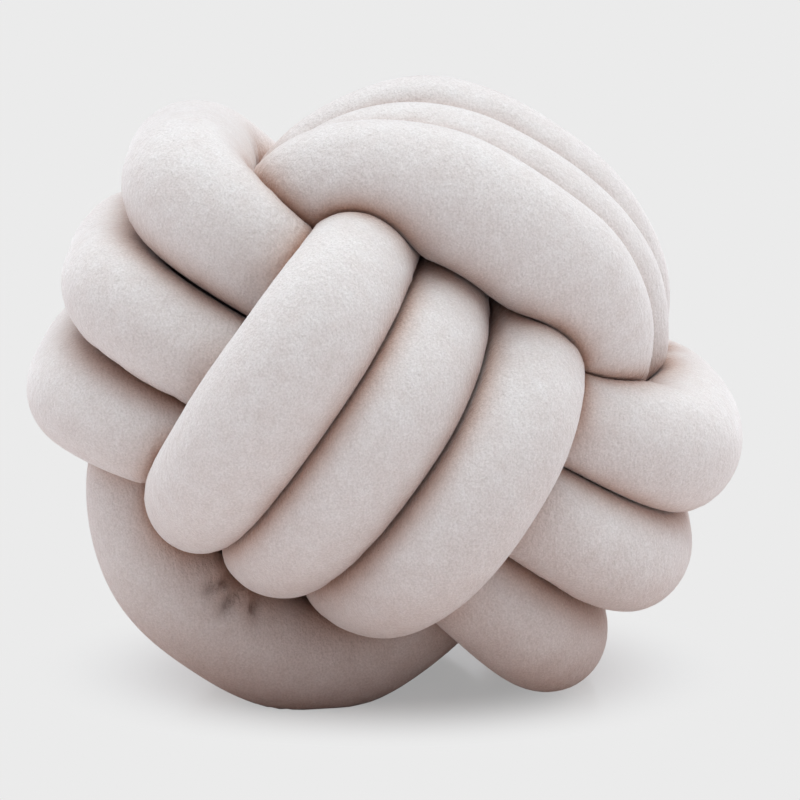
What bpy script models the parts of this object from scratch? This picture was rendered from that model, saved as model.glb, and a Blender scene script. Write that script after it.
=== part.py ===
"""Knot cushion: one long velour tube, stuffed, and wound into a monkey's fist.

Three bands of three turns stand at right angles to each other: a front band, a top band and a side band.
Each band lies outside at both ends of its long axis, and passes under the next band at both ends of its
short axis. The tube goes from the last turn of a band to the first turn of the next through the hollow
middle of the knot, where its two ends are also joined, so that the whole cushion is one closed tube.

The knot has three axes of its own: F towards the front, U up and W to the side.
"""
from collections import namedtuple

import bmesh
import bpy
import numpy as np
from mathutils import Matrix, Vector

MM = 0.001

# The tube, in millimetres
HIDDEN_RADIUS = 27.0       # where a turn passes under the next band
TUCKED_RADIUS = 34.0       # squeezed where it crosses the middle of the knot
RADIUS_EASE = 30.0         # length over which it goes from one to the other
PRESS_GAP = 3.6            # kept between two strands that press on each other
PRESS_SHARPNESS = 9.0      # a higher value gives a pressed side tighter shoulders
OWN_REACH = 30.0           # how near along the tube a place doesn't press on itself
SETTLE = 6.0               # how far the underside flattens where the cushion rests

# How the knot stands, in degrees, about Y, then X, then Z
KNOT_ROLL = 34.0
KNOT_PITCH = 1.5
KNOT_YAW = -0.5

# How the tube goes from one turn to the next
SHIFT_HALF_ARC = 45.0      # degrees either side of the hidden crossing
CROSSOVER_ARC = 55.0       # degrees past the long axis at which a band starts and ends
CROSSOVER_MIDDLE = (0.0, -20.0, -20.0)     # along the finished band's long, short and coil axes

# The mesh
SECTIONS = 400
SIDES = 12
STEPS_PER_SECTION = 4
EASING_ROUNDS = 12

Band = namedtuple("Band", "long short coil squareness")
BANDS = (
    Band("F", "U", "W", 2.8),
    Band("U", "W", "F", 2.7),
    Band("W", "F", "U", 6.0),
)

# One row for each turn, in the order in which the tube is wound, three turns to a band. The first four
# columns are how far out the middle of the tube runs, and the next four how far along the coil axis, at
# the front and back ends of the long axis and at the over and under ends of the short one. The last two
# are the tube's radius at the front and back ends, where it bulges freely.
Turn = namedtuple("Turn", "front over back under front_side over_side back_side under_side"
                          " front_radius back_radius")
TURNS = (
    Turn(136, 76, 161, 85, 50, 27, 55, 23, 31, 30),
    Turn(138, 64, 158, 96, -8, -12, 9, -14, 32, 33),
    Turn(143, 68, 157, 96, -64, -48, -47, -49, 35, 31),
    Turn(116, 87, 147, 106, 79, 20, 54, 24, 35, 33),
    Turn(121, 103, 137, 97, 20, -8, 6, -10, 34, 32),
    Turn(127, 105, 141, 97, -36, -43, -47, -48, 33, 30),
    Turn(138, 77, 150, 82, 65, 36, 34, 23, 37, 36),
    Turn(148, 88, 153, 99, 7, -5, -29, -10, 35, 30),
    Turn(141, 79, 137, 89, -60, -41, -90, -43, 34, 30),
)
TURNS_PER_BAND = 3


def turn_route(turn, squareness, angle):
    """Middle of the tube along one closed turn: its long, short and coil places, and the tube's radius."""
    cos, sin = np.cos(angle), np.sin(angle)
    along = np.where(cos > 0, turn.front, turn.back)
    across = np.where(sin > 0, turn.over, turn.under)
    out = (np.abs(cos / along) ** squareness + np.abs(sin / across) ** squareness) ** (-1 / squareness)
    mean = (turn.front_side + turn.over_side + turn.back_side + turn.under_side) / 4
    swing = (turn.front_side - turn.over_side + turn.back_side - turn.under_side) / 4
    side = (mean + swing * np.cos(2 * angle)
            + (turn.front_side - turn.back_side) / 2 * cos
            + (turn.over_side - turn.under_side) / 2 * sin)
    full = np.where(cos > 0, turn.front_radius, turn.back_radius)
    radius = HIDDEN_RADIUS + (full - HIDDEN_RADIUS) * (out * cos / along) ** 2
    return np.stack([out * cos, out * sin, side, radius], axis=1)


def smooth_step(value):
    """Ease from 0 to 1 as value goes from 0 to 1."""
    value = np.clip(value, 0, 1)
    return value * value * (3 - 2 * value)


def band_route(band, turns, steps=180):
    """Middle of the tube along one band, as rows of F, U, W and radius.

    Each turn follows its own ring, and the tube shifts to the next ring at the hidden under crossing.
    """
    arc = np.radians(CROSSOVER_ARC)
    half_shift = np.radians(SHIFT_HALF_ARC)
    angle = np.linspace(-arc, 2 * np.pi * (len(turns) - 1) + np.pi + arc, steps)
    route = turn_route(turns[0], band.squareness, angle)
    for number, turn in enumerate(turns[1:]):
        crossing = np.pi * (1.5 + 2 * number)
        share = smooth_step((angle - crossing + half_shift) / (2 * half_shift))[:, None]
        route = route * (1 - share) + turn_route(turn, band.squareness, angle) * share
    return on_knot_axes(band, route)


def on_knot_axes(band, rows):
    """Put rows of long, short, coil and radius in the order F, U, W, radius."""
    order = [(band.long, band.short, band.coil).index(axis) for axis in "FUW"]
    return rows[:, order + [3]]


def cubic(start, leave, end, arrive, steps):
    """Points between start and end on the cubic with these slopes, without its two ends."""
    u = np.linspace(0, 1, steps + 2)[1:-1, None]
    return ((2 * u**3 - 3 * u**2 + 1) * start + (u**3 - 2 * u**2 + u) * leave
            + (3 * u**2 - 2 * u**3) * end + (u**3 - u**2) * arrive)


def unit(vector):
    return vector / np.linalg.norm(vector)


def crossover_route(band, route, next_route, steps=12):
    """Middle of the tube from the end of one band, through the hollow middle, to the next band."""
    middle = on_knot_axes(band, np.array([CROSSOVER_MIDDLE + (TUCKED_RADIUS,)]))[0, :3]
    start, end = route[-1, :3], next_route[0, :3]
    first, second = np.linalg.norm(middle - start), np.linalg.norm(end - middle)
    heading = unit(end - start)
    before = cubic(start, unit(start - route[-2, :3]) * first, middle, heading * first, steps)
    after = cubic(middle, heading * second, end, unit(next_route[1, :3] - end) * second, steps)
    line = np.vstack([before, middle, after])
    return np.column_stack([line, np.full(len(line), TUCKED_RADIUS)])


def knot_route():
    """The closed middle line of the tube at even steps, and the tube's radius at each."""
    routes = []
    for number, band in enumerate(BANDS):
        first = number * TURNS_PER_BAND
        routes.append(band_route(band, TURNS[first:first + TURNS_PER_BAND]))
    pieces = []
    for number, band in enumerate(BANDS):
        pieces += [routes[number], crossover_route(band, routes[number], routes[(number + 1) % len(BANDS)])]
    return even_line(np.vstack(pieces + [routes[0][:1]]), SECTIONS * STEPS_PER_SECTION)


def even_line(rows, count):
    """The closed line, whose last row repeats its first, at even steps with its bends eased."""
    length = np.concatenate([[0], np.cumsum(np.linalg.norm(np.diff(rows[:, :3], axis=0), axis=1))])
    at = np.arange(count) * length[-1] / count
    even = np.stack([np.interp(at, length, rows[:, column]) for column in range(4)], axis=1)
    radius_steps = RADIUS_EASE * count / length[-1]
    return eased(even[:, :3], EASING_ROUNDS), eased(even[:, 3], int(radius_steps ** 2 / 2))


def eased(values, rounds):
    """Each value in the closed row moves towards its two neighbours, round after round."""
    for _ in range(rounds):
        values = (np.roll(values, 1, axis=0) + 2 * values + np.roll(values, -1, axis=0)) / 4
    return values


def stance():
    """Rotation from knot axes F, U, W to world X, Y, Z: F starts along -Y, U along +Z and W along +X."""
    square = Matrix(((0, 0, 1), (-1, 0, 0), (0, 1, 0)))
    turn = (Matrix.Rotation(np.radians(KNOT_YAW), 3, "Z") @ Matrix.Rotation(np.radians(KNOT_PITCH), 3, "X")
            @ Matrix.Rotation(np.radians(KNOT_ROLL), 3, "Y"))
    return np.array(turn @ square)


def section_axes(line):
    """Two axes across the tube at each point of the closed line, turning as little as they can."""
    ahead = np.roll(line, -1, axis=0) - np.roll(line, 1, axis=0)
    ahead /= np.linalg.norm(ahead, axis=1)[:, None]
    first = np.empty_like(line)
    first[0] = unit(np.cross(ahead[0], (0.3, 0.5, 0.8)))
    for number in range(1, len(line)):
        before = first[number - 1]
        first[number] = unit(before - ahead[number] * (before @ ahead[number]))
    last = unit(first[-1] - ahead[0] * (first[-1] @ ahead[0]))
    twist = np.arctan2(np.cross(last, first[0]) @ ahead[0], last @ first[0])
    second = np.cross(ahead, first)
    turn = (twist * np.arange(len(line)) / len(line))[:, None]
    return first * np.cos(turn) + second * np.sin(turn), second * np.cos(turn) - first * np.sin(turn)


def pressed_tube(line, radius):
    """Rings of points around the closed line. Where two strands meet, each stops at a flat between them."""
    first, second = section_axes(line)
    count = len(line)
    step = np.linalg.norm(np.diff(line, axis=0), axis=1).mean()
    angles = 2 * np.pi * np.arange(SIDES) / SIDES
    rings = []
    for number in range(0, count, STEPS_PER_SECTION):
        out = np.cos(angles)[:, None] * first[number] + np.sin(angles)[:, None] * second[number]
        along = np.abs(np.arange(count) - number)
        others = np.minimum(along, count - along) * step > OWN_REACH
        offset = line[others] - line[number]
        distance = np.linalg.norm(offset, axis=1)
        flat = (distance + (radius[number] ** 2 - radius[others] ** 2) / distance - PRESS_GAP) / 2
        facing = out @ offset.T / distance
        limit = np.where(facing > 0.02, flat / np.maximum(facing, 0.02), np.inf).min(axis=1)
        reach = (radius[number] ** -PRESS_SHARPNESS + limit ** -PRESS_SHARPNESS) ** (-1 / PRESS_SHARPNESS)
        rings.append(line[number] + out * reach[:, None])
    return np.array(rings)


def rested(rings):
    """Stand the points on the ground, centred over it, with the undersides flattened."""
    low, high = rings.min(axis=(0, 1)), rings.max(axis=(0, 1))
    rings = rings - ((low[0] + high[0]) / 2, (low[1] + high[1]) / 2, low[2] + SETTLE)
    rings[:, :, 2] = np.maximum(rings[:, :, 2], 0)
    return rings


def tube_mesh(name, rings):
    """A closed mesh of triangles over rings of points that join up end to end."""
    mesh = bmesh.new()
    rows = [[mesh.verts.new(Vector(point) * MM) for point in ring.tolist()] for ring in rings]
    for row, next_row in zip(rows, rows[1:] + rows[:1]):
        for side in range(SIDES):
            after = (side + 1) % SIDES
            mesh.faces.new((row[side], row[after], next_row[after], next_row[side]))
    bmesh.ops.triangulate(mesh, faces=mesh.faces[:], quad_method="SHORT_EDGE")
    bmesh.ops.recalc_face_normals(mesh, faces=mesh.faces[:])
    data = bpy.data.meshes.new(name)
    mesh.to_mesh(data)
    mesh.free()
    data.shade_smooth()
    return data


def velour():
    """Warm off-white short-pile velour."""
    material = bpy.data.materials.new("velour")
    material.use_nodes = True
    shader = material.node_tree.nodes["Principled BSDF"]
    shader.inputs["Base Color"].default_value = (0.78, 0.69, 0.62, 1.0)
    shader.inputs["Roughness"].default_value = 0.95
    shader.inputs["Metallic"].default_value = 0.0
    return material


def make_knot_tube():
    line, radius = knot_route()
    data = tube_mesh("knot_tube", rested(pressed_tube(line @ stance().T, radius)))
    data.materials.append(velour())
    tube = bpy.data.objects.new("knot_tube", data)
    bpy.context.scene.collection.objects.link(tube)
    return tube


def main():
    for thing in list(bpy.data.objects):
        bpy.data.objects.remove(thing, do_unlink=True)
    make_knot_tube()


main()
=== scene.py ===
"""Looks of the knot cushion: its velour tube at full detail, a pale floor, soft studio light and a camera."""
from collections import namedtuple

import bpy
import numpy as np
from mathutils import Matrix, Vector, noise


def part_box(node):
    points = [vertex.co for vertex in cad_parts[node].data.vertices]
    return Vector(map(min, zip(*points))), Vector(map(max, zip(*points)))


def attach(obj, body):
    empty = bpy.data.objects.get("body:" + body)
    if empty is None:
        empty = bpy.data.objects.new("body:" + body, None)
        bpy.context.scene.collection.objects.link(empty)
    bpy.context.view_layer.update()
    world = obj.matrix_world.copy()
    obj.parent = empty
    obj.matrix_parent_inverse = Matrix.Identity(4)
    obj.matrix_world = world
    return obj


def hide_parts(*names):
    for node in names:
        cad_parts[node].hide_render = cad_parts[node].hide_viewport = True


MM = 0.001

# ---- The tube, as the CAD part winds it, in millimetres ----
HIDDEN_RADIUS = 27.0       # where a turn passes under the next band
TUCKED_RADIUS = 34.0       # where it crosses the middle of the knot
RADIUS_EASE = 30.0         # length over which it goes from one to the other
PRESS_GAP = 0.4            # kept between two strands that press on each other
PRESS_SHARPNESS = 24.0     # a higher value gives a pressed side tighter shoulders
OWN_REACH = 30.0           # how near along the tube a place doesn't press on itself
PRESS_REACH = 90.0         # strands further off than this never press
SETTLE = 6.0               # how far the underside flattens where the cushion rests
ROUNDNESS = 0.96           # a round tube's radius, against that of one whose flat sides lie inside it
SHADE_AND_GATHER_SPREAD = 0.22        # how far the painted crease shade, and the gathers beside pressed strands, spread from a contact, against the tube's radius
LUMP_DEPTH = 1.1           # how uneven the filling is
LUMP_LENGTH = 42.0
PUCKER_DEPTH = 0.9         # small gathers where a strand is squeezed
PUCKER_LENGTH = 9.0

KNOT_ROLL = 34.0
KNOT_PITCH = 1.5
KNOT_YAW = -0.5

SHIFT_HALF_ARC = 45.0
CROSSOVER_ARC = 55.0
CROSSOVER_MIDDLE = (0.0, -20.0, -20.0)

SECTIONS = 1750
SIDES = 56
STEPS_PER_SECTION = 2
EASING_LENGTH = 11.3       # length over which the middle line's bends are eased

Band = namedtuple("Band", "long short coil squareness")
BANDS = (
    Band("F", "U", "W", 2.8),
    Band("U", "W", "F", 2.7),
    Band("W", "F", "U", 6.0),
)

Turn = namedtuple("Turn", "front over back under front_side over_side back_side under_side"
                          " front_radius back_radius")
TURNS = (
    Turn(136, 76, 161, 85, 50, 27, 55, 23, 31, 30),
    Turn(138, 64, 158, 96, -8, -12, 9, -14, 32, 33),
    Turn(143, 68, 157, 96, -64, -48, -47, -49, 35, 31),
    Turn(116, 87, 147, 106, 79, 20, 54, 24, 35, 33),
    Turn(121, 103, 137, 97, 20, -8, 6, -10, 34, 32),
    Turn(127, 105, 141, 97, -36, -43, -47, -48, 33, 30),
    Turn(138, 77, 150, 82, 65, 36, 34, 23, 37, 36),
    Turn(148, 88, 153, 99, 7, -5, -29, -10, 35, 30),
    Turn(141, 79, 137, 89, -60, -41, -90, -43, 34, 30),
)
TURNS_PER_BAND = 3

# Short creases where a strand is nipped by the one above it: where each lies, over the middle of the
# cushion's underside, the way it runs down from there, and its size
Nip = namedtuple("Nip", "x y z run_x run_z length width depth")
NIP_REACH = 20.0           # how far in front of and behind its place a crease still sinks
NIP_PAINTED_SHADE = 0.4             # how strongly it takes the painted crease shade
NIPS = (
    Nip(-79, -75, 76, -5, -2, 16, 2, 7),
    Nip(-76, -75, 73, -4, -6, 16, 2, 9),
    Nip(-68, -75, 69, 0, -6, 16, 2, 7),
)

# ---- Camera and stage ----
CAMERA_ELEVATION = 14.0    # degrees above the floor
CAMERA_DISTANCE = 1.75
CAMERA_LENS = 147.3        # millimetres on a 36 mm sensor
CAMERA_SHIFT = (0.0105, -0.0243)
CAMERA_AIM = (0.0034, -0.0064, 0.0021)     # from the middle of the cushion's box
# The colour of the studio's light from each side
DOME_FRONT = (0.10, 0.093, 0.093, 1.0)
DOME_BACK = (0.95, 0.94, 0.98, 1.0)
DOME_TOP = (0.85, 0.84, 0.88, 1.0)
FLOOR_BOUNCE_PAINTED_SHADE = (0.50, 0.31, 0.24, 1.0)       # painted shade: the darker, warmer colour the floor bounces from under the cushion
FLOOR_AROUND = (0.90, 0.845, 0.84, 1.0)     # and from around it
# where the painted shade in the floor's bounce is full, and where it is gone
UNDER_CORE = 0.15
UNDER_EDGE = 0.34
FLOOR_WIDTH = 16.0
FLOOR_MATT = 0.30
FLOOR_GLOSS = 0.12
FLOOR_GLOW = 0.33
SHADOW_CORE = 0.08         # how far to the sides of the middle the shadow is full
SHADOW_EDGE = 0.20         # and where it is gone
SHADOW_SQUASH = 1.55       # how much sooner that is to the front and back
BACKDROP = 0.831
VELOUR_DARK = (0.705, 0.635, 0.612, 1.0)
VELOUR_LIGHT = (0.745, 0.690, 0.672, 1.0)
# warm brown painted shade laid into the velour's colour beside the contact lines between strands and along
# the nips
CREASE_PAINTED_SHADE = (0.72, 0.50, 0.40, 1.0)

# Large soft lamps, by the direction that each shines from: 0 degrees is the front and 90 the right
Lamp = namedtuple("Lamp", "name around height spread strength")
LAMPS = (
    Lamp("back", 180, 60, 50, 1.05),
    Lamp("right", 90, 65, 50, 0.36),
    Lamp("top", 0, 82, 50, 1.45),
)
LAMP_COLOUR = (0.85, 1.0, 1.04)


def turn_route(turn, squareness, angle):
    """Middle of the tube along one closed turn: its long, short and coil places, and the tube's radius."""
    cos, sin = np.cos(angle), np.sin(angle)
    along = np.where(cos > 0, turn.front, turn.back)
    across = np.where(sin > 0, turn.over, turn.under)
    out = (np.abs(cos / along) ** squareness + np.abs(sin / across) ** squareness) ** (-1 / squareness)
    mean = (turn.front_side + turn.over_side + turn.back_side + turn.under_side) / 4
    swing = (turn.front_side - turn.over_side + turn.back_side - turn.under_side) / 4
    side = (mean + swing * np.cos(2 * angle)
            + (turn.front_side - turn.back_side) / 2 * cos
            + (turn.over_side - turn.under_side) / 2 * sin)
    full = np.where(cos > 0, turn.front_radius, turn.back_radius)
    radius = HIDDEN_RADIUS + (full - HIDDEN_RADIUS) * (out * cos / along) ** 2
    return np.stack([out * cos, out * sin, side, radius], axis=1)


def smooth_step(value):
    """Ease from 0 to 1 as value goes from 0 to 1."""
    value = np.clip(value, 0, 1)
    return value * value * (3 - 2 * value)


def band_route(band, turns, steps=720):
    """Middle of the tube along one band, as rows of F, U, W and radius."""
    arc = np.radians(CROSSOVER_ARC)
    half_shift = np.radians(SHIFT_HALF_ARC)
    angle = np.linspace(-arc, 2 * np.pi * (len(turns) - 1) + np.pi + arc, steps)
    route = turn_route(turns[0], band.squareness, angle)
    for number, turn in enumerate(turns[1:]):
        crossing = np.pi * (1.5 + 2 * number)
        share = smooth_step((angle - crossing + half_shift) / (2 * half_shift))[:, None]
        route = route * (1 - share) + turn_route(turn, band.squareness, angle) * share
    return on_knot_axes(band, route)


def on_knot_axes(band, rows):
    """Put rows of long, short, coil and radius in the order F, U, W, radius."""
    order = [(band.long, band.short, band.coil).index(axis) for axis in "FUW"]
    return rows[:, order + [3]]


def cubic(start, leave, end, arrive, steps):
    """Points between start and end on the cubic with these slopes, without its two ends."""
    u = np.linspace(0, 1, steps + 2)[1:-1, None]
    return ((2 * u**3 - 3 * u**2 + 1) * start + (u**3 - 2 * u**2 + u) * leave
            + (3 * u**2 - 2 * u**3) * end + (u**3 - u**2) * arrive)


def unit(vector):
    return vector / np.linalg.norm(vector)


def crossover_route(band, route, next_route, steps=48):
    """Middle of the tube from the end of one band, through the hollow middle, to the next band."""
    middle = on_knot_axes(band, np.array([CROSSOVER_MIDDLE + (TUCKED_RADIUS,)]))[0, :3]
    start, end = route[-1, :3], next_route[0, :3]
    first, second = np.linalg.norm(middle - start), np.linalg.norm(end - middle)
    heading = unit(end - start)
    before = cubic(start, unit(start - route[-2, :3]) * first, middle, heading * first, steps)
    after = cubic(middle, heading * second, end, unit(next_route[1, :3] - end) * second, steps)
    line = np.vstack([before, middle, after])
    return np.column_stack([line, np.full(len(line), TUCKED_RADIUS)])


def knot_route():
    """The closed middle line of the tube at even steps, and the tube's radius at each."""
    routes = []
    for number, band in enumerate(BANDS):
        first = number * TURNS_PER_BAND
        routes.append(band_route(band, TURNS[first:first + TURNS_PER_BAND]))
    pieces = []
    for number, band in enumerate(BANDS):
        pieces += [routes[number], crossover_route(band, routes[number], routes[(number + 1) % len(BANDS)])]
    return even_line(np.vstack(pieces + [routes[0][:1]]), SECTIONS * STEPS_PER_SECTION)


def even_line(rows, count):
    """The closed line, whose last row repeats its first, at even steps with its bends eased."""
    length = np.concatenate([[0], np.cumsum(np.linalg.norm(np.diff(rows[:, :3], axis=0), axis=1))])
    step = length[-1] / count
    at = np.arange(count) * step
    even = np.stack([np.interp(at, length, rows[:, column]) for column in range(4)], axis=1)
    return eased(even[:, :3], EASING_LENGTH / step), eased(even[:, 3], RADIUS_EASE / step)


def eased(values, spread):
    """The closed row of values, each blended with those about it by a bell curve that many steps wide."""
    half = int(3 * spread)
    steps = np.arange(-half, half + 1)
    weights = np.exp(-0.5 * (steps / spread) ** 2)
    weights /= weights.sum()
    total = np.zeros_like(values)
    for step, weight in zip(steps, weights):
        total += weight * np.roll(values, step, axis=0)
    return total


def stance():
    """Rotation from knot axes F, U, W to world X, Y, Z: F starts along -Y, U along +Z and W along +X."""
    square = Matrix(((0, 0, 1), (-1, 0, 0), (0, 1, 0)))
    turn = (Matrix.Rotation(np.radians(KNOT_YAW), 3, "Z") @ Matrix.Rotation(np.radians(KNOT_PITCH), 3, "X")
            @ Matrix.Rotation(np.radians(KNOT_ROLL), 3, "Y"))
    return np.array(turn @ square)


def section_axes(line):
    """Two axes across the tube at each point of the closed line, turning as little as they can."""
    ahead = np.roll(line, -1, axis=0) - np.roll(line, 1, axis=0)
    ahead /= np.linalg.norm(ahead, axis=1)[:, None]
    first = np.empty_like(line)
    first[0] = unit(np.cross(ahead[0], (0.3, 0.5, 0.8)))
    for number in range(1, len(line)):
        before = first[number - 1]
        first[number] = unit(before - ahead[number] * (before @ ahead[number]))
    last = unit(first[-1] - ahead[0] * (first[-1] @ ahead[0]))
    twist = np.arctan2(np.cross(last, first[0]) @ ahead[0], last @ first[0])
    second = np.cross(ahead, first)
    turn = (twist * np.arange(len(line)) / len(line))[:, None]
    return first * np.cos(turn) + second * np.sin(turn), second * np.cos(turn) - first * np.sin(turn)


def press_limits(line, radius, out):
    """How far the tube can go in each direction at each section before the flat that it shares with a
    neighbouring strand."""
    count = len(line)
    step = np.linalg.norm(np.diff(line, axis=0), axis=1).mean()
    limits = np.full(out.shape[:2], np.inf)
    for section, number in enumerate(range(0, count, STEPS_PER_SECTION)):
        along = np.abs(np.arange(count) - number)
        offset = line - line[number]
        distance = np.linalg.norm(offset, axis=1)
        others = (np.minimum(along, count - along) * step > OWN_REACH) & (distance < PRESS_REACH)
        offset, distance = offset[others], distance[others]
        flat = (distance + (radius[number] ** 2 - radius[others] ** 2) / distance - PRESS_GAP) / 2
        facing = out[section] @ offset.T / distance
        limits[section] = np.where(facing > 0.02, flat / np.maximum(facing, 0.02), np.inf).min(axis=1)
    return limits


def soft_reach(radius, limits):
    """The tube's own radius where it is free, and the limit where it is pressed, with soft shoulders."""
    return (radius ** -PRESS_SHARPNESS + limits ** -PRESS_SHARPNESS) ** (-1 / PRESS_SHARPNESS)


def relief(points, near):
    """How far the filling pushes each point out or lets it sink, with gathers beside the pressed strands."""
    lumps = np.empty(near.shape)
    puckers = np.empty(near.shape)
    for place, point in zip(np.ndindex(near.shape), points.reshape(-1, 3).tolist()):
        spot = Vector(point)
        lumps[place] = noise.noise(spot / LUMP_LENGTH)
        puckers[place] = noise.noise(spot / PUCKER_LENGTH)
    open_share = 1 - near
    return LUMP_DEPTH * lumps * open_share + PUCKER_DEPTH * (puckers - 0.3) * 4 * near * open_share


def nipped(rings, near):
    """The rings in metres with the short creases of the table sunk into them, and given painted crease shade.
    """
    inward = rings.mean(axis=1, keepdims=True) - rings
    inward /= np.linalg.norm(inward, axis=2)[:, :, None]
    for nip in NIPS:
        offset = rings / MM - (nip.x, nip.y, nip.z)
        run_x, run_z = unit(np.array((nip.run_x, nip.run_z)))
        along = offset[:, :, 0] * run_x + offset[:, :, 2] * run_z
        aside = offset[:, :, 0] * run_z - offset[:, :, 2] * run_x
        bell = np.exp(-(aside / nip.width) ** 2 - (2 * along / nip.length - 1) ** 2
                      - (offset[:, :, 1] / NIP_REACH) ** 4)
        rings = rings + inward * bell[:, :, None] * nip.depth * MM
        # painted shade along each nip
        near = np.maximum(near, NIP_PAINTED_SHADE * bell)
    return rings, near


def tube_rings(line, radius):
    """Rings of points round the closed line. Where two strands meet, each stops at a flat between them. The
    second result is how near each point is to a neighbouring strand, from 0 to 1 where it is pressed."""
    first, second = section_axes(line)
    angles = 2 * np.pi * np.arange(SIDES) / SIDES
    picked = slice(None, None, STEPS_PER_SECTION)
    out = (np.cos(angles)[None, :, None] * first[picked, None]
           + np.sin(angles)[None, :, None] * second[picked, None])
    limits = press_limits(line, radius, out)
    own = radius[picked][:, None]
    # nearness to a neighbour: it sets the gathers, and the material paints crease shade by it
    near = np.exp(-np.maximum(limits / own - 1, 0) / SHADE_AND_GATHER_SPREAD)
    reach = soft_reach(own, limits)
    reach += relief(line[picked][:, None] + out * reach[:, :, None], near)
    return line[picked][:, None] + out * reach[:, :, None], near


def rested(rings, low, high):
    """The points in metres, placed over the CAD part's box, with the undersides flattened on the floor."""
    middle = (rings.min(axis=(0, 1)) + rings.max(axis=(0, 1))) / 2
    rings = rings - (middle[0], middle[1], rings[:, :, 2].min() + SETTLE)
    rings = rings * MM + ((low[0] + high[0]) / 2, (low[1] + high[1]) / 2, 0)
    rings[:, :, 2] = np.maximum(rings[:, :, 2], 0)
    return rings


def tube_object(name, rings, near):
    """A closed mesh of four-sided faces over rings of points that join up end to end."""
    sections, sides = rings.shape[:2]
    index = np.arange(sections * sides).reshape(sections, sides)
    after = np.roll(index, -1, axis=0)
    faces = np.stack([index, np.roll(index, -1, axis=1), np.roll(after, -1, axis=1), after], axis=2)
    mesh = bpy.data.meshes.new(name)
    mesh.from_pydata(rings.reshape(-1, 3).tolist(), [], faces.reshape(-1, 4).tolist())
    mesh.update()
    mesh.shade_smooth()
    # the material paints crease shade from this nearness
    mesh.attributes.new("near", "FLOAT", "POINT").data.foreach_set("value", near.ravel().astype(np.float32))
    tube = bpy.data.objects.new(name, mesh)
    bpy.context.scene.collection.objects.link(tube)
    return tube


# ---- Materials ----
def velour():
    """Warm off-white short-pile velour: fine pile, brushed patches, a soft sheen, and painted warm shade
    beside the contact lines between strands.
    """
    material = bpy.data.materials.new("velour")
    material.use_nodes = True
    nodes, links = material.node_tree.nodes, material.node_tree.links
    shader = nodes["Principled BSDF"]
    shader.inputs["Roughness"].default_value = 1.0
    shader.inputs["Sheen Weight"].default_value = 0.55
    shader.inputs["Sheen Roughness"].default_value = 0.4
    shader.inputs["Sheen Tint"].default_value = (1.0, 0.97, 0.96, 1.0)
    shader.inputs["Specular IOR Level"].default_value = 0.1
    place = nodes.new("ShaderNodeTexCoord")

    def cloud(scale, detail, stretch=(1.0, 1.0, 1.0)):
        mapping = nodes.new("ShaderNodeMapping")
        mapping.inputs["Scale"].default_value = stretch
        links.new(place.outputs["Object"], mapping.inputs["Vector"])
        node = nodes.new("ShaderNodeTexNoise")
        node.inputs["Scale"].default_value = scale
        node.inputs["Detail"].default_value = detail
        links.new(mapping.outputs["Vector"], node.inputs["Vector"])
        return node.outputs["Fac"]

    def ramp(value, low, high, start=0.3, end=0.7):
        node = nodes.new("ShaderNodeMapRange")
        node.inputs["From Min"].default_value = start
        node.inputs["From Max"].default_value = end
        node.inputs["To Min"].default_value = low
        node.inputs["To Max"].default_value = high
        links.new(value, node.inputs["Value"])
        return node.outputs["Result"]

    def mixed(factor, dark, light):
        node = nodes.new("ShaderNodeMix")
        node.data_type = "RGBA"
        node.inputs[6].default_value = dark
        node.inputs[7].default_value = light
        links.new(factor, node.inputs[0])
        return node.outputs[2]

    def multiplied(first, second):
        node = nodes.new("ShaderNodeMix")
        node.data_type = "RGBA"
        node.blend_type = "MULTIPLY"
        node.inputs[0].default_value = 1.0
        links.new(first, node.inputs[6])
        links.new(second, node.inputs[7])
        return node.outputs[2]

    def bumped(height, strength, distance, under=None):
        node = nodes.new("ShaderNodeBump")
        node.inputs["Strength"].default_value = strength
        node.inputs["Distance"].default_value = distance
        links.new(height, node.inputs["Height"])
        if under:
            links.new(under, node.inputs["Normal"])
        return node.outputs["Normal"]

    pile = cloud(1000.0, 2.0)
    combed = cloud(520.0, 3.0, (1.0, 0.6, 0.45))
    brushed = cloud(90.0, 4.0)
    near = nodes.new("ShaderNodeAttribute")
    near.attribute_name = "near"
    tone = mixed(ramp(brushed, 0.0, 1.0), VELOUR_DARK, VELOUR_LIGHT)
    speckle = mixed(ramp(pile, 0.0, 1.0), (0.82, 0.80, 0.79, 1.0), (1.0, 1.0, 1.0, 1.0))
    # painted shade: the colour turns darker and warmer where a strand lies near its neighbour
    painted_crease_shade = mixed(near.outputs["Fac"], (1.0, 1.0, 1.0, 1.0), CREASE_PAINTED_SHADE)
    links.new(multiplied(multiplied(tone, speckle), painted_crease_shade), shader.inputs["Base Color"])
    soft = bumped(brushed, 0.3, 0.002)
    links.new(bumped(pile, 0.6, 0.0006, bumped(combed, 0.8, 0.0012, soft)), shader.inputs["Normal"])
    return material


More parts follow.
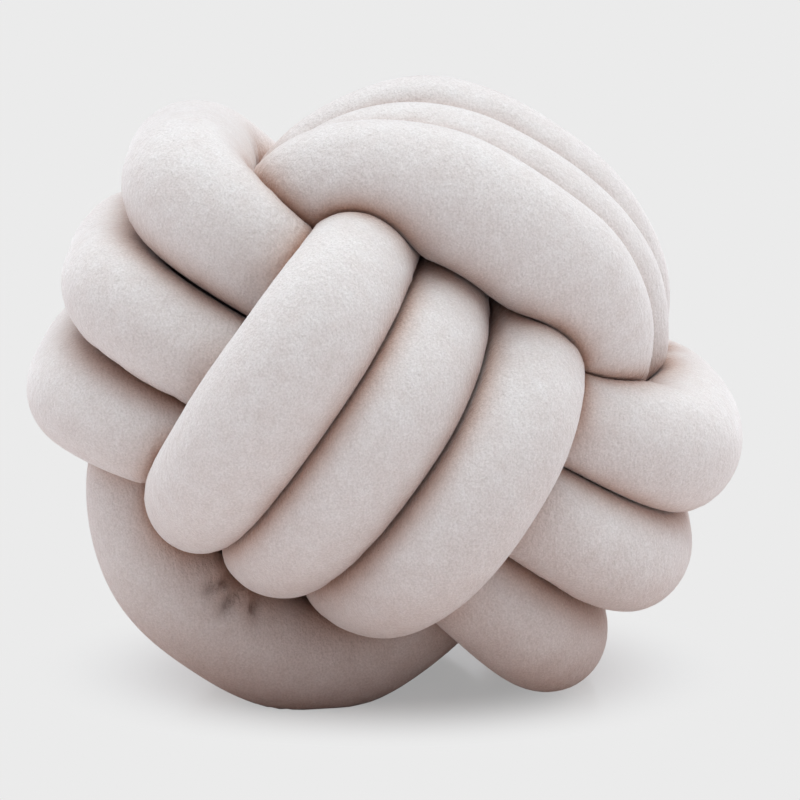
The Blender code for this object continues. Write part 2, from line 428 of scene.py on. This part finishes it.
def floor_material():
    """Pale floor that bounces light as a white sweep does, except that under the cushion the light it bounces
    is painted darker and warmer as shade. Under the cushion it also shows a soft shadow and a faint
    reflection, which fade into the even backdrop."""
    material = bpy.data.materials.new("pale_floor")
    material.use_nodes = True
    nodes, links = material.node_tree.nodes, material.node_tree.links
    nodes.remove(nodes["Principled BSDF"])

    def shader(kind, colour):
        node = nodes.new(kind)
        node.inputs["Color"].default_value = colour
        return node

    def joined(kind, first, second):
        node = nodes.new(kind)
        sockets = node.inputs[-2:]
        links.new(first.outputs[0], sockets[0])
        links.new(second.outputs[0], sockets[1])
        return node

    matt = shader("ShaderNodeBsdfDiffuse", (FLOOR_MATT, FLOOR_MATT, FLOOR_MATT, 1.0))
    gloss = shader("ShaderNodeBsdfGlossy", (FLOOR_GLOSS, FLOOR_GLOSS, FLOOR_GLOSS, 1.0))
    gloss.inputs["Roughness"].default_value = 0.16
    glow = shader("ShaderNodeEmission", (FLOOR_GLOW, FLOOR_GLOW, FLOOR_GLOW, 1.0))
    plain = shader("ShaderNodeEmission", (BACKDROP, BACKDROP, BACKDROP, 1.0))
    place = nodes.new("ShaderNodeTexCoord")

    def fade(squash, core, edge):
        """0 about the middle of the floor and 1 away from it."""
        oval = nodes.new("ShaderNodeMapping")
        oval.inputs["Scale"].default_value = (1.0, squash, 1.0)
        away = nodes.new("ShaderNodeVectorMath")
        away.operation = "LENGTH"
        share = nodes.new("ShaderNodeMapRange")
        share.interpolation_type = "SMOOTHSTEP"
        share.inputs["From Min"].default_value = core
        share.inputs["From Max"].default_value = edge
        links.new(place.outputs["Object"], oval.inputs["Vector"])
        links.new(oval.outputs["Vector"], away.inputs[0])
        links.new(away.outputs["Value"], share.inputs["Value"])
        return share.outputs["Result"]

    seen = joined("ShaderNodeAddShader", joined("ShaderNodeAddShader", matt, gloss), glow)
    seen = joined("ShaderNodeMixShader", seen, plain)
    links.new(fade(SHADOW_SQUASH, SHADOW_CORE, SHADOW_EDGE), seen.inputs[0])
    # painted shade: the bounced light turns darker and warmer under the cushion
    bounce = joined("ShaderNodeMixShader", shader("ShaderNodeBsdfDiffuse", FLOOR_BOUNCE_PAINTED_SHADE),
                    shader("ShaderNodeBsdfDiffuse", FLOOR_AROUND))
    links.new(fade(1.0, UNDER_CORE, UNDER_EDGE), bounce.inputs[0])
    both = joined("ShaderNodeMixShader", bounce, seen)
    rays = nodes.new("ShaderNodeLightPath")
    links.new(rays.outputs["Is Camera Ray"], both.inputs[0])
    links.new(both.outputs[0], nodes["Material Output"].inputs["Surface"])
    return material


# ---- Stage, light and camera ----
def make_floor():
    mesh = bpy.data.meshes.new("floor")
    half = FLOOR_WIDTH / 2
    corners = [(-half, -half, 0), (half, -half, 0), (half, half, 0), (-half, half, 0)]
    mesh.from_pydata(corners, [], [(0, 1, 2, 3)])
    mesh.materials.append(floor_material())
    floor = bpy.data.objects.new("floor", mesh)
    bpy.context.scene.collection.objects.link(floor)


def make_lamp(row):
    data = bpy.data.lights.new(row.name, "SUN")
    data.angle = np.radians(row.spread)
    data.energy = row.strength
    data.color = LAMP_COLOUR
    lamp = bpy.data.objects.new(row.name, data)
    around, height = np.radians((row.around, row.height))
    source = Vector((np.sin(around) * np.cos(height), -np.cos(around) * np.cos(height), np.sin(height)))
    lamp.rotation_euler = source.to_track_quat("Z", "Y").to_euler()
    bpy.context.scene.collection.objects.link(lamp)


def make_world():
    """A white studio, brightest overhead and behind the cushion and dim in front of it."""
    world = bpy.data.worlds.new("studio")
    world.use_nodes = True
    nodes, links = world.node_tree.nodes, world.node_tree.links
    dome = nodes["Background"]
    place = nodes.new("ShaderNodeTexCoord")
    apart = nodes.new("ShaderNodeSeparateXYZ")
    links.new(place.outputs["Generated"], apart.inputs["Vector"])

    def blend(axis, low, high, start, end):
        share = nodes.new("ShaderNodeMapRange")
        share.interpolation_type = "SMOOTHSTEP"
        share.inputs["From Min"].default_value = low
        share.inputs["From Max"].default_value = high
        links.new(apart.outputs[axis], share.inputs["Value"])
        mix = nodes.new("ShaderNodeMix")
        mix.data_type = "RGBA"
        links.new(share.outputs["Result"], mix.inputs[0])
        for socket, value in zip((mix.inputs[6], mix.inputs[7]), (start, end)):
            if isinstance(value, tuple):
                socket.default_value = value
            else:
                links.new(value, socket)
        return mix.outputs[2]

    around = blend("Y", -0.7, 0.5, DOME_FRONT, DOME_BACK)
    links.new(blend("Z", 0.1, 0.9, around, DOME_TOP), dome.inputs["Color"])
    backdrop = nodes.new("ShaderNodeBackground")
    backdrop.inputs["Color"].default_value = (BACKDROP, BACKDROP, BACKDROP, 1.0)
    rays = nodes.new("ShaderNodeLightPath")
    seen = nodes.new("ShaderNodeMixShader")
    links.new(rays.outputs["Is Camera Ray"], seen.inputs[0])
    links.new(dome.outputs[0], seen.inputs[1])
    links.new(backdrop.outputs[0], seen.inputs[2])
    links.new(seen.outputs[0], nodes["World Output"].inputs["Surface"])
    bpy.context.scene.world = world


def make_camera(middle):
    data = bpy.data.cameras.new("camera")
    data.lens = CAMERA_LENS
    data.sensor_width = 36.0
    data.shift_x, data.shift_y = CAMERA_SHIFT
    camera = bpy.data.objects.new("camera", data)
    rise = np.radians(CAMERA_ELEVATION)
    camera.location = middle + Vector((0, -np.cos(rise), np.sin(rise))) * CAMERA_DISTANCE
    camera.rotation_euler = (middle - camera.location).to_track_quat("-Z", "Y").to_euler()
    bpy.context.scene.collection.objects.link(camera)
    bpy.context.scene.camera = camera


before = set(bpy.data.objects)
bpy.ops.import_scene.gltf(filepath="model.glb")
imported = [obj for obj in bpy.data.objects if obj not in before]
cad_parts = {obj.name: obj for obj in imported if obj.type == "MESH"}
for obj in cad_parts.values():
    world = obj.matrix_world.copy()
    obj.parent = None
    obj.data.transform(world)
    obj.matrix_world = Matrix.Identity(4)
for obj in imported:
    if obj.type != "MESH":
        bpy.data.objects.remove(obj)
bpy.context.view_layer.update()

low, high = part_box("knot_tube")
line, radius = knot_route()
radius *= ROUNDNESS
rings, near = tube_rings(line @ stance().T, radius)
tube = tube_object("velour_tube", *nipped(rested(rings, low, high), near))
tube.data.materials.append(velour())
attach(tube, "root")
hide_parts("knot_tube")

make_floor()
make_world()
for lamp_row in LAMPS:
    make_lamp(lamp_row)
make_camera((low + high) / 2 + Vector(CAMERA_AIM))
bpy.context.scene.view_settings.view_transform = "Standard"
